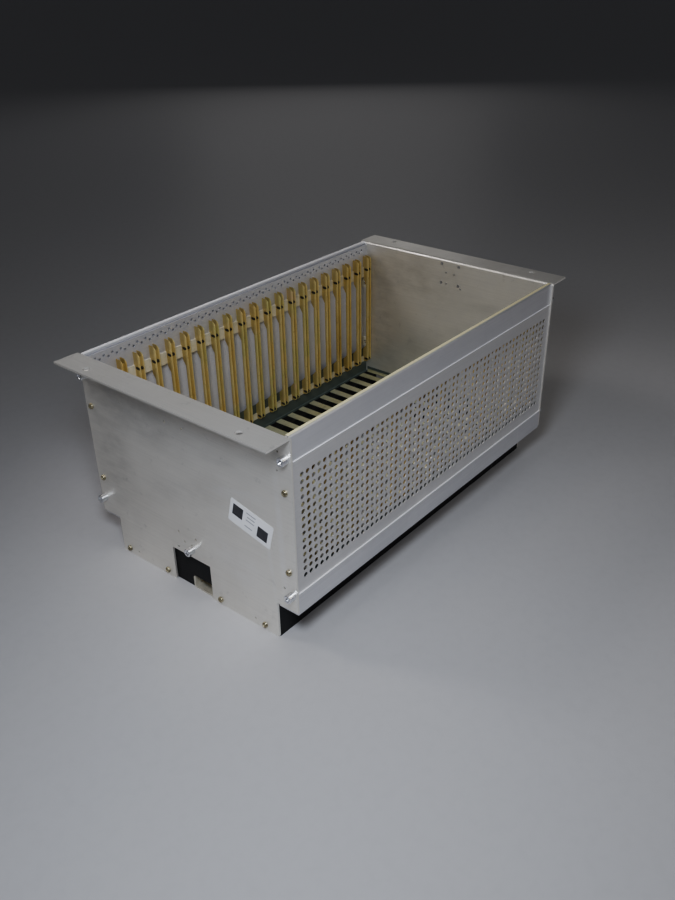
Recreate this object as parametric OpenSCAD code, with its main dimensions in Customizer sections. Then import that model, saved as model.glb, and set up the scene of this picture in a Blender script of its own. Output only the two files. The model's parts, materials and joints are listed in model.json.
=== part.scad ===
// Subrack card cage lying on its back, with its open front upwards.
// X runs along the rack width, Y along the rack height and Z from the rear edges to the front.
// The origin lies in the middle of the width and height, on the rear edges that carry the cage.

/* [Rack] */
// Width over both ears
rack_w = 482.6; // [470:0.1:520]
// Width over the outer faces of the end plates
body_w = 430; // [380:0.5:446]
// Height of the end plates, six rack units less a working gap
body_h = 264; // [240:0.5:320]
// Depth from the rear edges to the front face of the ears
depth = 214.2; // [180:0.1:320]

/* [Sheet] */
// Thickness of the end plates
plate_t = 2; // [1.5:0.1:3]
// Thickness of the rails, the strips and the base
sheet_t = 1.2; // [0.8:0.1:1.5]
// Thickness of the perforated covers
cover_t = 0.8; // [0.5:0.1:1.2]
// Inner radius of the folds
bend_r = 1; // [0.5:0.1:1.5]

/* [Ears] */
// Distance between the ear holes across the width
ear_pitch_x = 465.1; // [455:0.1:475]
// Distance between the ear holes along each ear
ear_pitch_y = 190.5; // [150:0.5:230]
// Diameter of the ear holes
ear_hole_d = 7; // [5:0.1:9]

/* [End plate edge] */
// Distance from each side to the foot of the end plate
foot_inset = 24.2; // [20:0.1:40]
// Height of the notches at the rear corners
corner_notch_h = 39.5; // [36:0.1:50]
// Height of the notch between the feet
centre_notch_h = 38.7; // [20:0.1:50]
// Lower Y edge of the notch between the feet
centre_notch_low = -22.7; // [-26:0.1:-10]
// Upper Y edge of the notch between the feet
centre_notch_high = 28.7; // [10:0.1:32]
// Rounding of the feet's corners
foot_r = 2; // [1:0.5:5]

/* [Covers] */
// Distance between neighbouring perforations
perf_pitch = 7.2; // [6:0.1:9]
// Diameter of a perforation
perf_d = 4.6; // [3:0.1:5]
// Least distance from a cover's end to the middle of a perforation
perf_margin = 11; // [6:0.5:40]
// Distance from the front face to the top edge of a cover
cover_drop = 24; // [20:0.1:30]

/* [Front rails] */
// Width of the lip at the front face
lip_w = 4.2; // [4:0.1:6]
// Distance from the front face to the top of the tapped wall
wall_drop = 3.5; // [2:0.1:5]
// Distance from the front face to the outer row of tapped holes
hole_row_drop = 8.5; // [6:0.1:9]
// Distance between the two rows of tapped holes along the depth
hole_row_step = 2.7; // [2.7:0.1:4]
// Distance between neighbouring tapped holes in one row
hole_pitch = 10.16; // [10.16:0.01:15.24]
// Diameter of a tapped hole
tapped_d = 2.5; // [2:0.1:2.6]

/* [Guides] */
// Distance from the near end plate to the middle of the first card guide
first_guide_gap = 15.17; // [12:0.01:20]
// Distance from the middle of the last card guide to the far end plate
last_guide_gap = 4.43; // [4:0.01:12]
// Width of a card guide
guide_w = 5.6; // [5:0.1:8]
// Thickness of the guide sheet
guide_t = 0.8; // [0.6:0.1:1]
// Width of the ears at a guide's ends
guide_ear_w = 7.7; // [6.5:0.1:12]
// Depth of the card groove
groove_d = 3.2; // [2:0.1:4]

/* [Base] */
// Width of a slot in the base
slot_w = 12; // [8:0.1:12.5]
// Distance from a slot's end to the wall of the base
slot_margin = 2.8; // [2.5:0.1:10]
// Height of the base's end flanges above its floor
end_flange_h = 6; // [3:0.1:6]

/* [Fasteners] */
// Outer diameter of a standoff
standoff_d = 8; // [5.5:0.1:9]
// Bore of a standoff
standoff_bore = 4; // [3:0.1:4.5]
// Length of a standoff
standoff_h = 7; // [5:0.1:15]
// Head diameter of a screw
head_d = 6; // [5:0.1:7]
// Head height of a screw
head_h = 2.4; // [1.5:0.1:3]
// Shank diameter of a screw
shank_d = 3; // [2.5:0.1:3.5]
// Clearance around a screw shank
shank_play = 0.2; // [0.1:0.05:0.4]

/* [Hidden] */
$fn = 48;
cut = 1;                                   // how far a cutting tool reaches past a face
guide_count = 21;                          // card guides on each side
half_w = body_w / 2;
half_h = body_h / 2;
inner_x = half_w - plate_t;                // inner face of an end plate
inner_w = 2 * inner_x;
foot_y = half_h - foot_inset;              // side edge of an end plate's foot

// Stack of sheets at each side, from the outside inwards
cover_face = half_h - sheet_t;             // outer face of a cover
rail_face = cover_face - cover_t;          // outer face of a front rail
lip_edge = rail_face - lip_w;              // inner edge of the front lip
wall_gap = 1.2;                            // groove between the lip and the tapped wall
wall_out = lip_edge - wall_gap;            // outer face of the tapped wall and the base wall
wall_in = wall_out - sheet_t;              // inner face of both walls
strip_in = wall_in - sheet_t;              // inner face of a carrier strip

// Distances below the front face
hem_drop = 4;
bridge_drop = 16.5;
guide_drop = 16.8;
front_standoff_drop = 21;
front_clip_drop = 22;
front_strip_drop = 30.5;
rail_drop = 34.5;
front_wall_drop = 43.5;
front_screw_drop = 53.5;

// Levels that hang from the front face
hem_z = depth - hem_drop;                  // end of the hem behind the lip
bridge_z = depth - bridge_drop;            // underside of the web that joins the rail's walls
guide_top = depth - guide_drop;
front_standoff_z = depth - front_standoff_drop;
front_clip_z = depth - front_clip_drop;    // centre of a clip hole in a front rail
front_strip_high = depth - front_strip_drop;
rail_low = depth - rail_drop;              // lower edge of a rail's outer wall
front_wall_low = depth - front_wall_drop;  // lower edge of a tapped wall
front_screw_z = depth - front_screw_drop;

// Distances above the upper face of the base
cover_rise = 7;
rear_strip_rise = 15.2;
guide_rise = 16.2;
rear_standoff_rise = 17.2;
rear_clip_rise = 29;
rear_wall_rise = 33.2;
rear_screw_rise = 41.2;
centre_standoff_rise = 8.2;

// Levels that stand on the rear edges
base_top = corner_notch_h;                 // upper face of the base
base_low = base_top - sheet_t;
foot_top = base_low;                       // upper face of a foot rail
band_h = 23.4;
band_low = foot_top - 2 * sheet_t;         // lower edge of a rear rail
band_high = band_low + band_h;             // upper edge of a rear rail
strip_h = 7.5;
rear_strip_low = base_top + rear_strip_rise;
rear_strip_high = rear_strip_low + strip_h;
guide_low = base_top + guide_rise;
rear_standoff_z = base_top + rear_standoff_rise;
rear_clip_z = base_top + rear_clip_rise;   // centre of a clip hole in a base wall
rear_wall_high = base_top + rear_wall_rise;
rear_screw_z = base_top + rear_screw_rise;

// Perforated field of a cover
cover_low = base_top + cover_rise;
cover_high = depth - cover_drop;
perf_gap = 9;                              // least distance from a rail to a perforation's middle
perf_lift = 4.85;                          // how far the field sits above the middle between the rails
perf_columns = 1 + floor((inner_w - 2 * perf_margin) / perf_pitch);
perf_rows = 1 + floor((rail_low - band_high - 2 * perf_gap) / perf_pitch);
perf_w = (perf_columns - 1) * perf_pitch;
perf_h = (perf_rows - 1) * perf_pitch;
perf_centre_z = (band_high + rail_low) / 2 + perf_lift;

// Card guides
guide_pitch = (inner_w - first_guide_gap - last_guide_gap) / (guide_count - 1);
guide_in = strip_in - guide_ear_w;         // edge of a guide that faces the cards
guide_back = guide_in + groove_d + guide_t;
ear_r = 5;                                 // rounding of a guide's ears
ear_slope = 6;                             // height over which an ear widens
front_ear_low = front_wall_low - 3;        // where a front ear starts to narrow
rear_ear_high = rear_wall_high;            // where a rear ear starts to narrow
tab_h = 5.5;                               // height of the tabs that join a guide's ears
oblong = [6.2, 3.2];                       // oblong hole in an ear
oblong_drop = 2.8;                         // from a strip's upper edge to the oblong hole
clip_d = 4;                                // clip hole behind a guide

// Centre beam
beam_t = 2;
beam_y = 3.2;                              // face of the beam's upright
beam_h = 12.7;
beam_reach = 6;                            // how far the beam's flange reaches behind the foot
beam_low_y = centre_notch_low - beam_reach;

// Fasteners
tab_in = 3;                                // how far a strip's end tab reaches past the strip
tab_out = rail_face - 1;                   // outer edge of a strip's end tab
strip_tab_h = 12;
tab_screw_y = (strip_in - tab_in + tab_out) / 2;
foot_tab_h = 14;
foot_screw_z = 5.7;
foot_screw_inset = 9.8;                    // from the foot's side edge to its outer left screw
last_screw_inset = 16.8;                   // from the foot's side edge to its outer right screw
notch_screw_gap = 11.3;                    // from the notch between the feet to the next screw
shank_l = plate_t + sheet_t + 2;
standoff_y = half_h - 5.5;

// Screws and standoffs of an end plate, as [y, z]
FOOT_SCREWS = [
    [foot_y - foot_screw_inset, foot_screw_z], [centre_notch_high + notch_screw_gap, foot_screw_z],
    [centre_notch_low - notch_screw_gap, foot_screw_z], [last_screw_inset - foot_y, foot_screw_z]
];
STRIP_SCREWS = [for (s = [-1, 1]) each [[s * tab_screw_y, front_screw_z], [s * tab_screw_y, rear_screw_z]]];
SCREWS = concat(FOOT_SCREWS, STRIP_SCREWS);
STANDOFFS = concat(
    [for (s = [-1, 1]) each [[s * standoff_y, front_standoff_z], [s * standoff_y, rear_standoff_z]]],
    [[0, base_top + centre_standoff_rise]]
);

// Small holes of each end plate, as [y, z, diameter]
NEAR_HOLES = [
    [16.5, base_top + 22.2, 3], [-6.8, base_top + 22.7, 3], [9.4, base_top + 13.7, 2.5],
    [19.2, base_top + 3.8, 2.5], [17.7, depth - 35.3, 2.5], [-4.6, depth - 35, 2.5],
    [-0.2, base_top + 13.4, 2], [14.2 - half_h, base_top + 21.8, 2],
    [foot_y - 23.8, foot_screw_z + 1.5, 2], [28.8 - foot_y, foot_screw_z + 1.5, 2],
    [13.8 - half_h, depth - 16.7, 2], [15.4 - half_h, depth - 34.9, 2]
];
FAR_HOLES = [
    [11.7, depth - 29, 4], [-11.7, depth - 29, 4], [11.7, depth - 6, 4], [-11.7, depth - 6, 4],
    [5.4, depth - 15.8, 2.5], [-5.8, depth - 16.5, 2.5], [4.6, depth - 29.2, 2.5],
    [-15.1, depth - 32.2, 2.5]
];

GUIDES = [for (i = [1:guide_count]) str(i < 10 ? "0" : "", i)];

function guide_x(i) = first_guide_gap - inner_x + (i - 1) * guide_pitch;

// Puts what is drawn for the left side (+Y) on the right side (-Y) where side is -1
module on_side(side) {
    if (side < 0) mirror([0, 1, 0]) children();
    else children();
}

// Puts what is drawn for the far end (+X) on the near end (-X) where end is -1
module on_end(end) {
    if (end < 0) mirror([1, 0, 0]) children();
    else children();
}

// Extrudes a section drawn in Y and Z along X
module along_x(x, length) {
    translate([x, 0, 0]) rotate([90, 0, 90]) linear_extrude(length) children();
}

// A round hole or pin along X, starting at x
module rod_x(x, y, z, d, length) {
    translate([x, y, z]) rotate([0, 90, 0]) cylinder(d = d, h = length);
}

// A round hole or pin along Y, starting at y
module rod_y(x, y, z, d, length) {
    translate([x, y + length, z]) rotate([90, 0, 0]) cylinder(d = d, h = length);
}

// A flat run of a sheet section between two opposite corners
module run(a, b) {
    translate([min(a[0], b[0]), min(a[1], b[1])]) square([abs(b[0] - a[0]), abs(b[1] - a[1])]);
}

// A right-angle fold: the outer faces would meet at p, and dir points to the fold's centre
module fold(p, dir, t) {
    c = p + (t + bend_r) * dir;
    intersection() {
        translate(c) difference() {
            circle(r = t + bend_r);
            circle(r = bend_r);
        }
        run(p, c);
    }
}

// What a foot loses at its corner at y, where the foot lies towards dir
module round_off(y, dir) {
    c = [y + dir * foot_r, foot_r];
    along_x(inner_x - cut, plate_t + 2 * cut) difference() {
        run([y - dir * cut, -cut], c);
        translate(c) circle(r = foot_r);
    }
}

// One end plate: a web with feet, and a rack ear folded outwards at its front
module end_plate(end, holes) {
    bend = plate_t + bend_r;
    on_end(end) difference() {
        translate([0, half_h, 0]) rotate([90, 0, 0]) linear_extrude(body_h) {
            run([inner_x, 0], [half_w, depth - bend]);
            fold([inner_x, depth], [1, -1], plate_t);
            run([inner_x + bend, depth - plate_t], [rack_w / 2, depth]);
        }
        for (y = [-foot_y, centre_notch_high]) round_off(y, 1);
        for (y = [foot_y, centre_notch_low]) round_off(y, -1);
        for (s = [-1, 1]) {
            on_side(s) translate([inner_x - cut, foot_y, -cut])
                cube([plate_t + 2 * cut, foot_inset + cut, corner_notch_h + cut]);
            translate([ear_pitch_x / 2, s * ear_pitch_y / 2, depth - plate_t - cut])
                cylinder(d = ear_hole_d, h = plate_t + 2 * cut);
        }
        translate([inner_x - cut, centre_notch_low, -cut])
            cube([plate_t + 2 * cut, centre_notch_high - centre_notch_low, centre_notch_h + cut]);
        for (p = SCREWS) rod_x(inner_x - cut, p[0], p[1], shank_d + 2 * shank_play, plate_t + 2 * cut);
        for (p = STANDOFFS) rod_x(inner_x - cut, p[0], p[1], standoff_bore, plate_t + 2 * cut);
        for (p = holes) rod_x(inner_x - cut, p[0], p[1], p[2], plate_t + 2 * cut);
    }
}

module end_plate_near() {
    color([0.66, 0.66, 0.68]) end_plate(-1, NEAR_HOLES);
}

module end_plate_far() {
    color([0.62, 0.62, 0.63]) end_plate(1, FAR_HOLES);
}

// A cover, held between the front rail and the rear rail; only the right one is perforated
module cover(side) {
    color([0.58, 0.56, 0.54]) on_side(side)
        translate([0, cover_face, 0]) rotate([90, 0, 0]) linear_extrude(cover_t) difference() {
            run([-inner_x, cover_low], [inner_x, cover_high]);
            if (side < 0)
                for (i = [0:perf_columns - 1], k = [0:perf_rows - 1])
                    translate([i * perf_pitch - perf_w / 2, perf_centre_z + k * perf_pitch - perf_h / 2])
                        circle(d = perf_d, $fn = 16);
        }
}

// A front rail: outer wall, front lip with a hem, joining web and tapped inner wall
module front_rail(side) {
    outer_in = rail_face - sheet_t;
    columns = floor((inner_w / 2 - 4) / hole_pitch);
    color([0.62, 0.62, 0.6]) on_side(side) difference() {
        along_x(-inner_x, inner_w) {
            run([outer_in, rail_low], [rail_face, depth - sheet_t - bend_r]);
            fold([rail_face, depth], [-1, -1], sheet_t);
            run([lip_edge, depth - sheet_t], [rail_face - sheet_t - bend_r, depth]);
            run([lip_edge, hem_z], [lip_edge + sheet_t, depth]);
            run([wall_in, bridge_z], [outer_in, bridge_z + sheet_t]);
            run([wall_in, front_wall_low], [wall_out, depth - wall_drop]);
        }
        for (i = [-columns:columns]) {
            rod_y(i * hole_pitch, wall_in - cut, depth - hole_row_drop, tapped_d, sheet_t + 2 * cut);
            if (i < columns)
                rod_y((i + 0.5) * hole_pitch, wall_in - cut, depth - hole_row_drop - hole_row_step,
                    tapped_d, sheet_t + 2 * cut);
        }
        for (i = [1:guide_count])
            rod_y(guide_x(i), wall_in - cut, front_clip_z, clip_d, sheet_t + 2 * cut);
    }
}

// A carrier strip between low and high, with a tab at each end that is screwed on at screw_z
module carrier_strip(side, low, high, screw_z) {
    tab_low = screw_z - strip_tab_h / 2;
    tab_high = screw_z + strip_tab_h / 2;
    color([0.72, 0.6, 0.32]) on_side(side) {
        along_x(-inner_x, inner_w) run([strip_in, low], [wall_in, high]);
        for (end = [-1, 1]) on_end(end) difference() {
            along_x(inner_x - sheet_t, sheet_t) {
                run([strip_in, min(low, tab_low)], [wall_in, max(high, tab_high)]);
                run([strip_in - tab_in, tab_low], [tab_out, tab_high]);
            }
            rod_x(inner_x - sheet_t - cut, tab_screw_y, screw_z, shank_d + 2 * shank_play,
                sheet_t + 2 * cut);
        }
    }
}

module front_strip(side) {
    carrier_strip(side, front_wall_low, front_strip_high, front_screw_z);
}

module rear_strip(side) {
    carrier_strip(side, rear_strip_low, rear_strip_high, rear_screw_z);
}

// A rear rail: an outer band folded inwards under the foot rail's flange
module rear_rail(side) {
    bend = sheet_t + bend_r;
    color([0.55, 0.55, 0.57]) on_side(side) along_x(-inner_x, inner_w) {
        run([half_h - sheet_t, band_low + bend], [half_h, band_high]);
        fold([half_h, band_low], [-1, 1], sheet_t);
        run([foot_y + bend_r, band_low], [half_h - bend, band_low + sheet_t]);
    }
}

// A foot rail: an upright between the feet, a flange under the base and end tabs for the screws
module foot_rail(side) {
    bend = sheet_t + bend_r;
    upright = foot_y - sheet_t;
    tab_low = abs(FOOT_SCREWS[side > 0 ? 1 : 2][0]) - head_d / 2;
    color([0.14, 0.14, 0.15]) on_side(side) {
        along_x(-inner_x, inner_w) {
            run([upright, 0], [foot_y, foot_top - bend]);
            fold([upright, foot_top], [1, -1], sheet_t);
            run([upright + bend, foot_top - sheet_t], [half_h - 2 * sheet_t, foot_top]);
        }
        for (end = [-1, 1]) on_end(end) difference() {
            along_x(inner_x - sheet_t, sheet_t) run([tab_low, 0], [foot_y, foot_tab_h]);
            for (p = FOOT_SCREWS)
                rod_x(inner_x - sheet_t - cut, side * p[0], p[1], shank_d + 2 * shank_play,
                    sheet_t + 2 * cut);
        }
    }
}

// The base: a tray with a slot behind each card place, a wall along each side and two end flanges
module slotted_base() {
    slot_l = 2 * (wall_in - slot_margin);
    slot_end = inner_x - sheet_t - bend_r;     // the last slot stops at the fold of the end flange
    bend = sheet_t + bend_r;
    color([0.62, 0.62, 0.5]) difference() {
        union() {
            along_x(-inner_x, inner_w) {
                run([-wall_out + bend, base_low], [wall_out - bend, base_top]);
                for (s = [-1, 1]) {
                    fold([s * wall_out, base_low], [-s, 1], sheet_t);
                    run([s * wall_in, base_low + bend], [s * wall_out, rear_wall_high]);
                }
            }
            for (end = [-1, 1]) on_end(end)
                along_x(inner_x - sheet_t, sheet_t)
                    run([-slot_l / 2, base_top], [slot_l / 2, base_top + end_flange_h]);
        }
        for (i = [1:guide_count]) {
            low = guide_x(i) - slot_w / 2;
            high = min(guide_x(i) + slot_w / 2, slot_end);
            translate([low, -slot_l / 2, base_low - cut]) cube([high - low, slot_l, sheet_t + 2 * cut]);
            for (s = [-1, 1]) on_side(s)
                rod_y(guide_x(i), wall_in - cut, rear_clip_z, clip_d, sheet_t + 2 * cut);
        }
    }
}

// The centre beam: a low channel that runs between the feet
module centre_beam() {
    bend = beam_t + bend_r;
    color([0.68, 0.62, 0.5]) along_x(-inner_x, inner_w) {
        run([beam_y, bend], [beam_y + beam_t, beam_h]);
        fold([beam_y + beam_t, 0], [-1, 1], beam_t);
        run([beam_low_y + bend, 0], [beam_y + beam_t - bend, beam_t]);
        fold([beam_low_y, 0], [1, 1], beam_t);
        run([beam_low_y, bend], [beam_low_y + beam_t, beam_h]);
    }
}

// Hollow standoffs on the outer faces of both end plates
module standoffs() {
    color([0.75, 0.75, 0.78])
        for (end = [-1, 1], p = STANDOFFS) on_end(end) difference() {
            rod_x(half_w, p[0], p[1], standoff_d, standoff_h);
            rod_x(half_w - cut, p[0], p[1], standoff_bore, standoff_h + 2 * cut);
        }
}

// Pan-head screws through both end plates
module screws() {
    dome = 0.8;
    color([0.75, 0.7, 0.45])
        for (end = [-1, 1], p = SCREWS) on_end(end) translate([half_w, p[0], p[1]]) rotate([0, 90, 0])
            rotate_extrude() {
                translate([0, -shank_l]) square([shank_d / 2, shank_l + head_h / 2]);
                square([head_d / 2, head_h - dome]);
                translate([0, head_h - dome]) intersection() {
                    scale([head_d / 2 / dome, 1]) circle(r = dome);
                    square([head_d / 2, dome]);
                }
            }
}

// The oblong hole of an ear below a strip's upper edge
module ear_hole(strip_high) {
    mid_y = (guide_in + strip_in) / 2;
    flat = (oblong[0] - oblong[1]) / 2;
    z = strip_high - oblong_drop;
    run([mid_y - flat, z - oblong[1] / 2], [mid_y + flat, z + oblong[1] / 2]);
    for (s = [-1, 1]) translate([mid_y + s * flat, z]) circle(d = oblong[1]);
}

// A guide's cheek: a narrow blade that widens at both ends into ears with a round outer corner
module cheek() {
    difference() {
        union() {
            run([guide_in, rear_ear_high], [guide_back, front_ear_low]);
            polygon([
                [guide_back, front_ear_low - ear_slope], [strip_in, front_ear_low],
                [guide_in, front_ear_low]
            ]);
            run([guide_in, front_ear_low], [strip_in, front_strip_high]);
            run([guide_in, front_strip_high], [wall_in, guide_top - ear_r]);
            run([guide_in + ear_r, guide_top - ear_r], [wall_in, guide_top]);
            quarter([guide_in + ear_r, guide_top - ear_r], [-1, 1]);
            polygon([
                [guide_back, rear_ear_high + ear_slope], [wall_in, rear_ear_high],
                [guide_in, rear_ear_high]
            ]);
            run([guide_in, rear_strip_high], [wall_in, rear_ear_high]);
            run([guide_in, guide_low + ear_r], [strip_in, rear_strip_high]);
            run([guide_in + ear_r, guide_low], [strip_in, guide_low + ear_r]);
            quarter([guide_in + ear_r, guide_low + ear_r], [-1, -1]);
        }
        ear_hole(front_strip_high);
        ear_hole(rear_strip_high);
    }
}

// A quarter disc of an ear's rounding, around c and towards dir
module quarter(c, dir) {
    intersection() {
        translate(c) circle(r = ear_r);
        run(c, c + ear_r * dir);
    }
}

// One card guide: two cheeks, joined by the bottom of the groove and by a tab above each strip
module guide(side, i) {
    gap = guide_w - 2 * guide_t;
    color([0.78, 0.66, 0.36]) on_side(side) translate([guide_x(i), 0, 0]) {
        for (x = [-guide_w / 2, gap / 2]) along_x(x, guide_t) cheek();
        along_x(-gap / 2, gap) {
            run([guide_back - guide_t, guide_low + ear_r], [guide_back, guide_top - ear_r]);
            for (z = [front_strip_high, rear_strip_high]) run([wall_in - guide_t, z], [wall_in, z + tab_h]);
        }
    }
}

end_plate_near();
end_plate_far();
cover(-1);  // cover_right
cover(1);  // cover_left
front_rail(-1);  // front_rail_right
front_rail(1);  // front_rail_left
front_strip(-1);  // front_strip_right
front_strip(1);  // front_strip_left
rear_rail(-1);  // rear_rail_right
rear_rail(1);  // rear_rail_left
rear_strip(-1);  // rear_strip_right
rear_strip(1);  // rear_strip_left
foot_rail(-1);  // foot_rail_right
foot_rail(1);  // foot_rail_left
slotted_base();
centre_beam();
standoffs();
screws();
for (i = [1:guide_count]) {
    guide(-1, i);
    guide(1, i);
}
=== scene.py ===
"""Dresses a subrack card cage for a studio picture: finishes, fastener detail, label, light, camera."""

from __future__ import annotations

import json
import logging
import math
from dataclasses import dataclass, field
from enum import Enum
from typing import Any, Callable, Iterable, Sequence

import bmesh
import bpy
from mathutils import Matrix, Vector

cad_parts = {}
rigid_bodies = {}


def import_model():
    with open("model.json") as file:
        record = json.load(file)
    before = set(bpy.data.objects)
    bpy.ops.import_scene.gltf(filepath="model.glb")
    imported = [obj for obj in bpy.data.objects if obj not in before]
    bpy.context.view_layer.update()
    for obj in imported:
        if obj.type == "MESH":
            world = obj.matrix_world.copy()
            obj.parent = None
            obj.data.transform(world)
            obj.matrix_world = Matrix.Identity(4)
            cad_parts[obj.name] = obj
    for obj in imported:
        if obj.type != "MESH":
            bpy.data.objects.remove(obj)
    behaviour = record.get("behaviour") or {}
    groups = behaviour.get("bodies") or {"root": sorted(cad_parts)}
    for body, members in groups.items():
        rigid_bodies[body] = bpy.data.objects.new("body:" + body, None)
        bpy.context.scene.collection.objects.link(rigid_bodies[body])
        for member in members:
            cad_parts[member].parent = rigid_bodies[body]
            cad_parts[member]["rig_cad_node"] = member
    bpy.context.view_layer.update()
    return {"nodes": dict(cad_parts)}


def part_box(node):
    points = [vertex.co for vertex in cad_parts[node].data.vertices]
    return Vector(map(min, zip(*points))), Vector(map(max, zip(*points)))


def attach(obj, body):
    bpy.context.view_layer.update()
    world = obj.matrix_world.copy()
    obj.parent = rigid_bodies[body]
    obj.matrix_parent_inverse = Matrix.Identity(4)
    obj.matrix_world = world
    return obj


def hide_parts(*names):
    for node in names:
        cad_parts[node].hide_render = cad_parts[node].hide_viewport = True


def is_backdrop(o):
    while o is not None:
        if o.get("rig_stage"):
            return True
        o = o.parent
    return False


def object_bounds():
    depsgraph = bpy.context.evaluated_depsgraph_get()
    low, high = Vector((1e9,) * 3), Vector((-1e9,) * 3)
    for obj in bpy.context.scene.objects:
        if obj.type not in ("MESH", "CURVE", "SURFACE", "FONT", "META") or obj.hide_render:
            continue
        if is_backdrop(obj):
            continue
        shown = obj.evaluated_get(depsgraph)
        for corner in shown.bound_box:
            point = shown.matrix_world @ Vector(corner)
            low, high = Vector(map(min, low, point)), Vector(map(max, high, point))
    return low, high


LOG = logging.getLogger("card_cage")
MM = 0.001
Colour = tuple[float, float, float]
Span = tuple[float, float]
Corners = tuple[Vector, Vector]

# Spans of a noise value, from its usual low to its usual high.
MIDDLE: Span = (0.35, 0.65)
BROAD: Span = (0.3, 0.7)

PLATE_THICKNESS = 2 * MM        # of the folded end plates
FOLD_ANGLE = math.radians(35)   # a fold sharper than this stays a sharp edge
WELD = 1e-7                     # points closer than this, in metres, are one point
MICRON_DIGITS = 6               # decimals of a metre that tell two points apart


class Grain(Enum):
    """The direction of the rolling or drawing marks in a metal surface."""

    ALONG_X = (0.02, 1.0, 1.0)
    ALONG_Y = (1.0, 0.02, 1.0)
    NONE = (1.0, 1.0, 1.0)


@dataclass(frozen=True)
class Smear:
    """A lighter or darker patch on an end plate, in the plane of Y and Z, with streaks along it; such
    patches carry rubbed wear and soiling, and also painted sheen and painted shade.
    """

    y: float
    z: float
    length: float
    width: float
    angle: float
    strength: float
    core: float = 0.35
    streak_scale: float = 150.0
    streak_stretch: tuple[float, float, float] = (1.0, 0.25, 0.6)
    streak_floor: float = 0.25


@dataclass(frozen=True)
class ScratchSet:
    """Fine scratches that run one way: a drawn-out noise, cut to thin lines."""

    scale: float
    stretch: tuple[float, float, float]
    turn: tuple[float, float, float]
    cut: Span


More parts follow.
